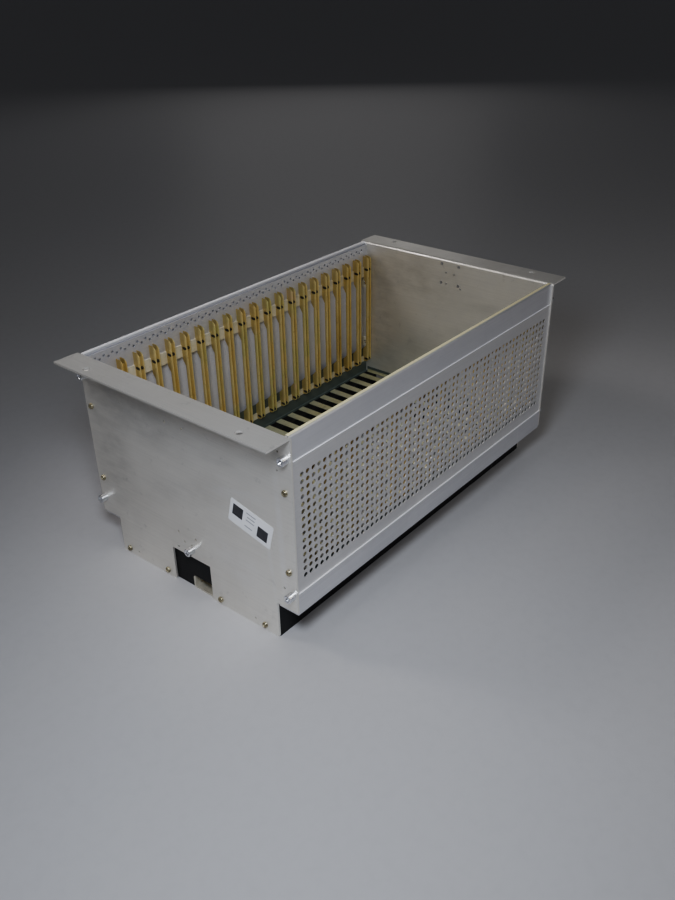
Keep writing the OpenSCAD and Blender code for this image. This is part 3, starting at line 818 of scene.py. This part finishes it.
@dataclass
class Fasteners:
    """Pan-head screws with cross recesses and threaded standoffs, in the places of the CAD solids."""

    palette: Palette
    head: float = 2.4 * MM
    head_rim: float = 0.9 * MM
    head_bevel: float = 0.15 * MM
    crown_share: float = 0.55
    crown_steps: int = 6
    shank: float = 1.45 * MM
    tip: float = 0.4 * MM
    tip_share: float = 0.7
    plain_tip: float = 0.5 * MM
    plain_shank: float = 0.8 * MM
    screw_steps: int = 32
    recess_w: float = 0.75 * MM
    recess_l: float = 3.4 * MM
    recess_depth: float = 1.3 * MM
    recess_over: float = 1 * MM
    recess_taper: tuple[float, float] = (0.35, 0.6)
    edge: float = 0.35 * MM
    bore: float = 2 * MM
    standoff_steps: int = 40
    thread_pitch: float = 0.7 * MM
    thread_depth: float = 0.25 * MM
    spin: float = 0.7

    def screw(self, length: float, radius: float) -> bmesh.types.BMesh:
        """One screw along +Z, with its head's top at the end of its length.

        Args:
            length: Overall length.
            radius: Radius of the head.

        Returns:
            The mesh, with the screw's tip at z = 0.
        """
        profile = [(0.0, 0.0), (self.shank * self.tip_share, 0.0), (self.shank, self.tip)]
        under = length - self.head
        for turn in range(int((under - self.plain_shank) / self.thread_pitch)):
            z = self.plain_tip + turn * self.thread_pitch
            profile += [(self.shank - self.thread_depth, z), (self.shank, z + self.thread_pitch / 2)]
        rim = under + self.head_rim
        profile += [(self.shank, under), (radius - self.head_bevel, under),
                    (radius, under + self.head_bevel), (radius, rim)]
        crown = self.crown_share * radius
        for step in range(1, self.crown_steps + 1):
            angle = step / self.crown_steps * math.pi / 2
            profile.append((radius - crown + crown * math.cos(angle),
                            rim + (length - rim) * math.sin(angle)))
        profile.append((0.0, length))
        return lathe(profile, self.screw_steps)

    def recess(self, top: float) -> bmesh.types.BMesh:
        """A cross-shaped cutter whose arms narrow with depth.

        Args:
            top: Height of the head's top.

        Returns:
            The cutter's mesh.
        """
        mesh = bmesh.new()
        for turn in (0.0, math.pi / 2):
            arm = bmesh.ops.create_cube(mesh, size=1.0)["verts"]
            for vert in arm:
                deep = vert.co.z < 0
                shares = self.recess_taper if deep else (1.0, 1.0)
                vert.co.x *= self.recess_l * shares[0]
                vert.co.y *= self.recess_w * shares[1]
                vert.co.z = top - self.recess_depth if deep else top + self.recess_over
            bmesh.ops.rotate(mesh, verts=arm, cent=(0, 0, 0), matrix=Matrix.Rotation(turn, 3, "Z"))
        return mesh

    @staticmethod
    def cut(body: bmesh.types.BMesh, cutter: bmesh.types.BMesh) -> bpy.types.Mesh:
        """Cuts one mesh out of another.

        Args:
            body: The mesh that stays, which is freed.
            cutter: The mesh that is taken away, which is freed.

        Returns:
            The cut mesh.
        """
        objects = []
        for mesh in (body, cutter):
            data = bpy.data.meshes.new("fastener_work")
            mesh.to_mesh(data)
            mesh.free()
            objects.append(bpy.data.objects.new("fastener_work", data))
            bpy.context.scene.collection.objects.link(objects[-1])
        modifier = objects[0].modifiers.new("recess", "BOOLEAN")
        modifier.operation = "DIFFERENCE"
        modifier.solver = "EXACT"
        modifier.use_self = True
        modifier.object = objects[1]
        graph = bpy.context.evaluated_depsgraph_get()
        result = bpy.data.meshes.new_from_object(objects[0].evaluated_get(graph))
        for item in objects:
            bpy.data.objects.remove(item)
        return result

    def standoff(self, length: float, radius: float) -> bmesh.types.BMesh:
        """One hollow standoff along +Z, with broken edges and a threaded bore.

        Args:
            length: Its length.
            radius: Its outer radius.

        Returns:
            The mesh, with the foot at z = 0.
        """
        profile = [(self.bore, 0.0), (radius, 0.0), (radius, length - self.edge),
                   (radius - self.edge, length), (self.bore + self.edge, length)]
        for turn in range(int((length - self.edge) / self.thread_pitch)):
            z = length - self.edge - turn * self.thread_pitch
            profile += [(self.bore, z), (self.bore - self.thread_depth, z - self.thread_pitch / 2)]
        return lathe(profile, self.standoff_steps)

    def place_all(self, name: str, node: bpy.types.Object,
                  make: Callable[[float, float], bpy.types.Mesh],
                  material: bpy.types.Material) -> bpy.types.Object:
        """Puts a fastener in the place of each solid of a CAD node, pointing out of its end plate.

        Args:
            name: Name of the new piece.
            node: The CAD node, whose solids give the places.
            make: Gives the mesh for a length and a radius.
            material: Material of the fasteners.

        Returns:
            The piece with all the fasteners.
        """
        whole = bmesh.new()
        for index, (low, high) in enumerate(solids_of(node)):
            far = low.x + high.x > 0
            size = high - low
            part = make(size.x, size.y / 2)
            start = Vector((low.x if far else high.x, (low.y + high.y) / 2, (low.z + high.z) / 2))
            turn = Matrix.Rotation(math.radians(90 if far else -90), 4, "Y")
            spin = Matrix.Rotation(index * self.spin, 4, "Z")
            part.transform(Matrix.Translation(start) @ turn @ spin)
            whole.from_mesh(part)
            bpy.data.meshes.remove(part)
        piece = new_piece(name, whole, material)
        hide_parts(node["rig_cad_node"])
        LOG.info("%s: %d faces", name, len(piece.data.polygons))
        return piece

    def build(self, nodes: dict[str, bpy.types.Object]) -> None:
        """Makes the screws and the standoffs.

        Args:
            nodes: The CAD nodes by name.
        """
        def one_screw(length: float, radius: float) -> bpy.types.Mesh:
            """A cut screw of that size."""
            return self.cut(self.screw(length, radius), self.recess(length))

        def one_standoff(length: float, radius: float) -> bpy.types.Mesh:
            """A standoff of that size.

            Args:
                length: Its length.
                radius: Its outer radius.

            Returns:
                The mesh.
            """
            data = bpy.data.meshes.new("standoff")
            mesh = self.standoff(length, radius)
            mesh.to_mesh(data)
            mesh.free()
            return data

        screws = self.place_all("dressed_screws", nodes["screws"], one_screw, self.palette.get(SCREW))
        stands = self.place_all("dressed_standoffs", nodes["standoffs"], one_standoff,
                                self.palette.get(ZINC))


@dataclass
class EarHoleShades:
    """Black plugs with oblong ends that fill the ears' holes: painted shade, so the holes read dark."""

    palette: Palette
    size: tuple[float, float] = (5.9 * MM, 2.9 * MM)
    inset: float = 0.1 * MM
    ear_width: float = 7.7 * MM
    hole_drop: float = 2.8 * MM
    strip_height: float = 7.5 * MM
    steps: int = 8

    def ear_hole_plug(self, x: tuple[float, float], y: float, z: float) -> bmesh.types.BMesh:
        """One black plug along X, painted shade in an ear's hole.

        Args:
            x: Its two ends.
            y: Middle of the plug across the rack.
            z: Middle of the plug above the rear edges.

        Returns:
            The mesh.
        """
        radius = self.size[1] / 2
        flat = self.size[0] / 2 - radius
        outline = []
        for end in (1, -1):
            for step in range(self.steps + 1):
                angle = math.pi * (step / self.steps - 0.5) + (0.0 if end > 0 else math.pi)
                outline.append((x[0], y + end * flat + radius * math.cos(angle),
                                z + radius * math.sin(angle)))
        return pushed_out(outline, Vector((x[1] - x[0], 0, 0)))

    def build(self, nodes: dict[str, bpy.types.Object]) -> None:
        """Makes the black plugs of painted shade for both sides, each side as one piece.

        Args:
            nodes: The CAD nodes by name.
        """
        for side, sign in (("right", -1), ("left", 1)):
            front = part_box(f"front_strip_{side}")[1].z - self.hole_drop
            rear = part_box(f"rear_strip_{side}")[0].z + self.strip_height - self.hole_drop
            whole = bmesh.new()
            for name in nodes:
                if not name.startswith(f"guide_{side}"):
                    continue
                low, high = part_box(name)
                edge = low.y if sign > 0 else high.y
                for z in (front, rear):
                    join_into(whole, self.ear_hole_plug((low.x + self.inset, high.x - self.inset),
                                              edge + sign * self.ear_width / 2, z))
            # One piece per side: black plugs of painted shade in the ear holes.
            piece = new_piece(f"guide_ear_hole_shades_{side}", whole, self.palette.get(EAR_HOLE_SHADE))
            LOG.info("%s: %d faces", piece.name, len(piece.data.polygons))


@dataclass
class CrossMembers:
    """Folded black sheets that close the space under the base behind each notch between the feet."""

    palette: Palette
    thickness: float = 1.2 * MM
    gap: float = 1.0 * MM
    flange: float = 10 * MM
    from_beam: float = 1.5 * MM
    reach: float = 34 * MM
    lift: float = 0.3 * MM

    def member(self, start: float, inward: int, across: tuple[float, float],
               levels: tuple[float, float]) -> bmesh.types.BMesh:
        """One folded channel that stands behind an end plate.

        Args:
            start: Face of the channel that looks at the end plate.
            inward: 1 where the cage lies towards +X of the plate, or -1.
            across: Its two ends along Y.
            levels: Its lower and upper edge.

        Returns:
            The mesh.
        """
        t = self.thickness
        low, high = levels
        section = [(0, low), (self.flange, low), (self.flange, low + t), (t, low + t), (t, high - t),
                   (self.flange, high - t), (self.flange, high), (0, high)]
        ring = [(start + inward * a, across[0], b) for a, b in section]
        return pushed_out(ring, Vector((0, across[1] - across[0], 0)))

    def build(self) -> None:
        """Makes the two members."""
        low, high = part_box("slotted_base")
        beam_low, beam_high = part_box("centre_beam")
        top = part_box("foot_rail_left")[1].z - self.gap
        split = beam_high.y + self.from_beam
        for name, face, inward in (("near", low.x, 1), ("far", high.x, -1)):
            start = face + inward * self.gap
            whole = self.member(start, inward, (split, split + self.reach), (self.lift, top))
            join_into(whole, self.member(start, inward, (beam_low.y - self.flange, split),
                                         (beam_high.z + self.gap, top)))
            piece = new_piece(f"cross_member_{name}", whole, self.palette.get(FOOT), smooth=False)
            LOG.info("%s: %d faces", piece.name, len(piece.data.polygons))


@dataclass
class Label:
    """A small plain sticker on the near end plate, with fields of colour and no lettering."""

    palette: Palette
    face_x: float
    centre: tuple[float, float] = (-81.5 * MM, 113.2 * MM)
    size: tuple[float, float] = (50 * MM, 25.5 * MM)
    tilt: float = math.radians(-13.8)
    lift: float = 0.02 * MM
    thickness: float = 0.12 * MM
    ink: float = 0.02 * MM
    corner: float = 1.5 * MM
    corner_steps: int = 4
    square: float = 12 * MM
    square_corner: float = 0.6 * MM
    squares: tuple[tuple[float, float], ...] = ((-15.5 * MM, 2.5 * MM), (14.5 * MM, -2.5 * MM))
    bar_height: float = 1.1 * MM
    bar_corner: float = 0.3 * MM
    bars: tuple[tuple[float, float, float], ...] = (
        (-0.5 * MM, 8.2 * MM, 11 * MM), (0.0, 4.2 * MM, 9 * MM),
        (-0.5 * MM, 0.4 * MM, 10 * MM), (-1.5 * MM, -6.5 * MM, 9 * MM))

    def slab(self, centre: tuple[float, float], size: tuple[float, float], corner: float,
             base: float, thickness: float) -> bmesh.types.BMesh:
        """A thin slab with round corners in the label's own plane.

        Args:
            centre: Middle of the slab from the label's middle, to the right and up.
            size: Width and height.
            corner: Radius of the corners.
            base: Height of its underside above the plate.
            thickness: Thickness of the slab.

        Returns:
            The mesh, in the label's own frame.
        """
        outline = []
        for quarter in range(4):
            sx = 1 if quarter in (0, 3) else -1
            sy = 1 if quarter in (0, 1) else -1
            middle = (centre[0] + sx * (size[0] / 2 - corner), centre[1] + sy * (size[1] / 2 - corner))
            for step in range(self.corner_steps + 1):
                angle = math.pi / 2 * (quarter + step / self.corner_steps)
                outline.append((middle[0] + corner * math.cos(angle),
                                middle[1] + corner * math.sin(angle), base))
        return pushed_out(outline, Vector((0, 0, thickness)))

    def lay(self, mesh: bmesh.types.BMesh) -> bmesh.types.BMesh:
        """Turns a mesh from the label's own frame onto the end plate.

        Args:
            mesh: The mesh, changed in place.

        Returns:
            The same mesh.
        """
        facing = Matrix(((0, 0, -1, 0), (-1, 0, 0, 0), (0, 1, 0, 0), (0, 0, 0, 1)))
        spin = Matrix.Rotation(self.tilt, 4, "Z")
        place = Matrix.Translation((self.face_x, self.centre[0], self.centre[1]))
        bmesh.ops.transform(mesh, verts=mesh.verts, matrix=place @ facing @ spin)
        return mesh

    @staticmethod
    def join(parts: Iterable[bmesh.types.BMesh]) -> bmesh.types.BMesh:
        """Joins meshes into one.

        Args:
            parts: The meshes, which are freed.

        Returns:
            The joined mesh.
        """
        whole = bmesh.new()
        for part in parts:
            join_into(whole, part)
        return whole

    def build(self) -> None:
        """Makes the sticker, its two dark squares and its grey bars."""
        top = self.lift + self.thickness
        paper = self.slab((0, 0), self.size, self.corner, self.lift, self.thickness)
        squares = [self.slab(place, (self.square, self.square), self.square_corner, top, self.ink)
                   for place in self.squares]
        bars = [self.slab((x, y), (width, self.bar_height), self.bar_corner, top, self.ink)
                for x, y, width in self.bars]
        for name, parts, finish in (("label_sheet", [paper], PAPER), ("label_squares", squares, INK),
                                    ("label_bars", bars, GREY_INK)):
            piece = new_piece(name, self.lay(self.join(parts)), self.palette.get(finish), smooth=False)
            LOG.info("%s: %d faces", name, len(piece.data.polygons))


@dataclass(frozen=True)
class Viewpoint:
    """Where the camera stands and how it looks."""

    place: tuple[float, float, float] = (-0.649157, -0.539858, 0.549942)
    yaw: float = 0.6929
    pitch: float = 0.5283
    roll: float = -0.0174
    lens: float = 35.73
    sensor: float = 36.0
    reach: float = 60.0

    def set_up(self) -> None:
        """Makes the camera and hands it to the scene."""
        data = bpy.data.cameras.new("studio_camera")
        data.lens = self.lens
        data.sensor_width = self.sensor
        data.clip_end = self.reach
        camera = bpy.data.objects.new("studio_camera", data)
        ahead = Vector((math.cos(self.yaw) * math.cos(self.pitch),
                        math.sin(self.yaw) * math.cos(self.pitch), -math.sin(self.pitch)))
        right = Vector((math.sin(self.yaw), -math.cos(self.yaw), 0.0))
        up = right.cross(ahead)
        right, up = (math.cos(self.roll) * right + math.sin(self.roll) * up,
                     math.cos(self.roll) * up - math.sin(self.roll) * right)
        turn = Matrix((right, up, -ahead)).transposed().to_4x4()
        camera.matrix_world = Matrix.Translation(self.place) @ turn
        bpy.context.scene.collection.objects.link(camera)
        bpy.context.scene.camera = camera


@dataclass(frozen=True)
class Softbox:
    """A square soft studio light that faces a point."""

    name: str
    place: tuple[float, float, float]
    target: tuple[float, float, float]
    size: float
    power: float
    colour: Colour
    spread: float = math.pi

    def set_up(self) -> None:
        """Makes the light."""
        data = bpy.data.lights.new(self.name, "AREA")
        data.shape = "RECTANGLE"
        data.size = self.size
        data.size_y = self.size
        data.energy = self.power
        data.color = self.colour
        data.spread = self.spread
        light = bpy.data.objects.new(self.name, data)
        light.location = self.place
        aim = Vector(self.target) - Vector(self.place)
        light.rotation_euler = aim.to_track_quat("-Z", "Y").to_euler()
        bpy.context.scene.collection.objects.link(light)


@dataclass
class Studio:
    """The pale floor, the soft lights and the grey surroundings."""

    palette: Palette
    floor_size: float = 24.0
    surroundings: Colour = (0.55, 0.56, 0.60)
    strength: float = 0.08
    look: str = "AgX - Medium High Contrast"
    lights: tuple[Softbox, ...] = (
        Softbox("front_light", (-0.5, -0.32, 0.55), (-0.1, -0.12, 0.05), 0.15, 2.2, (0.80, 0.87, 1.0)),
        Softbox("upper_light", (-0.55, -0.45, 0.78), (0.0, 0.0, 0.1), 0.3, 0.65, (1.0, 0.9, 0.7)),
        Softbox("left_light", (-1.1, 0.5, 0.6), (0.0, 0.0, 0.1), 0.5, 0.3, (1.0, 0.90, 0.84)),
        Softbox("key_light", (-0.43, 0.62, 0.80), (0.07, -0.05, 0.05), 0.28, 0.24,
                (1.0, 0.95, 0.92), math.radians(42)),
        Softbox("right_light", (0.7, -1.1, 0.9), (0.0, 0.0, 0.1), 0.6, 1.2, (1.0, 0.93, 0.78)),
        Softbox("low_light", (0.3, -1.4, 0.45), (0.0, 0.0, 0.1), 0.5, 1.7, (0.84, 0.86, 1.0)),
        Softbox("back_light", (1.3, 2.0, 1.4), (0.0, 0.0, 0.1), 0.9, 0.55, (0.88, 0.91, 1.0)),
        Softbox("far_light", (2.2, 1.8, 0.9), (0.0, 0.0, 0.1), 1.2, 1.5, (1.0, 0.98, 0.96)),
    )

    def floor(self) -> None:
        """Makes the floor on which the cage lies."""
        mesh = bmesh.new()
        bmesh.ops.create_grid(mesh, x_segments=2, y_segments=2, size=self.floor_size / 2)
        data = bpy.data.meshes.new("studio_floor")
        mesh.to_mesh(data)
        mesh.free()
        data.materials.append(self.palette.get(FLOOR))
        floor = bpy.data.objects.new("studio_floor", data)
        bpy.context.scene.collection.objects.link(floor)
        floor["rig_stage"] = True

    def world(self) -> None:
        """Sets the even light of the surroundings and the contrast of the picture."""
        world = bpy.data.worlds.new("studio_world")
        world.use_nodes = True
        background = world.node_tree.nodes["Background"]
        background.inputs["Color"].default_value = (*self.surroundings, 1.0)
        background.inputs["Strength"].default_value = self.strength
        bpy.context.scene.world = world
        bpy.context.scene.view_settings.look = self.look

    def set_up(self) -> None:
        """Makes the floor, the surroundings and the lights."""
        self.floor()
        self.world()
        for light in self.lights:
            light.set_up()


def main() -> None:
    """Builds and dresses the cage, then the studio."""
    logging.basicConfig(level=logging.INFO, format="%(name)s: %(message)s")
    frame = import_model()
    nodes = frame["nodes"]
    palette = Palette()
    SheetMetal(palette).dress_all(nodes)
    Fasteners(palette).build(nodes)
    # Black plugs as painted shade in the guides' ear holes.
    EarHoleShades(palette).build(nodes)
    CrossMembers(palette).build()
    near_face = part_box("cover_right")[0].x - PLATE_THICKNESS
    Label(palette, near_face).build()
    Studio(palette).set_up()
    Viewpoint().set_up()


if __name__ == "__main__":
    main()
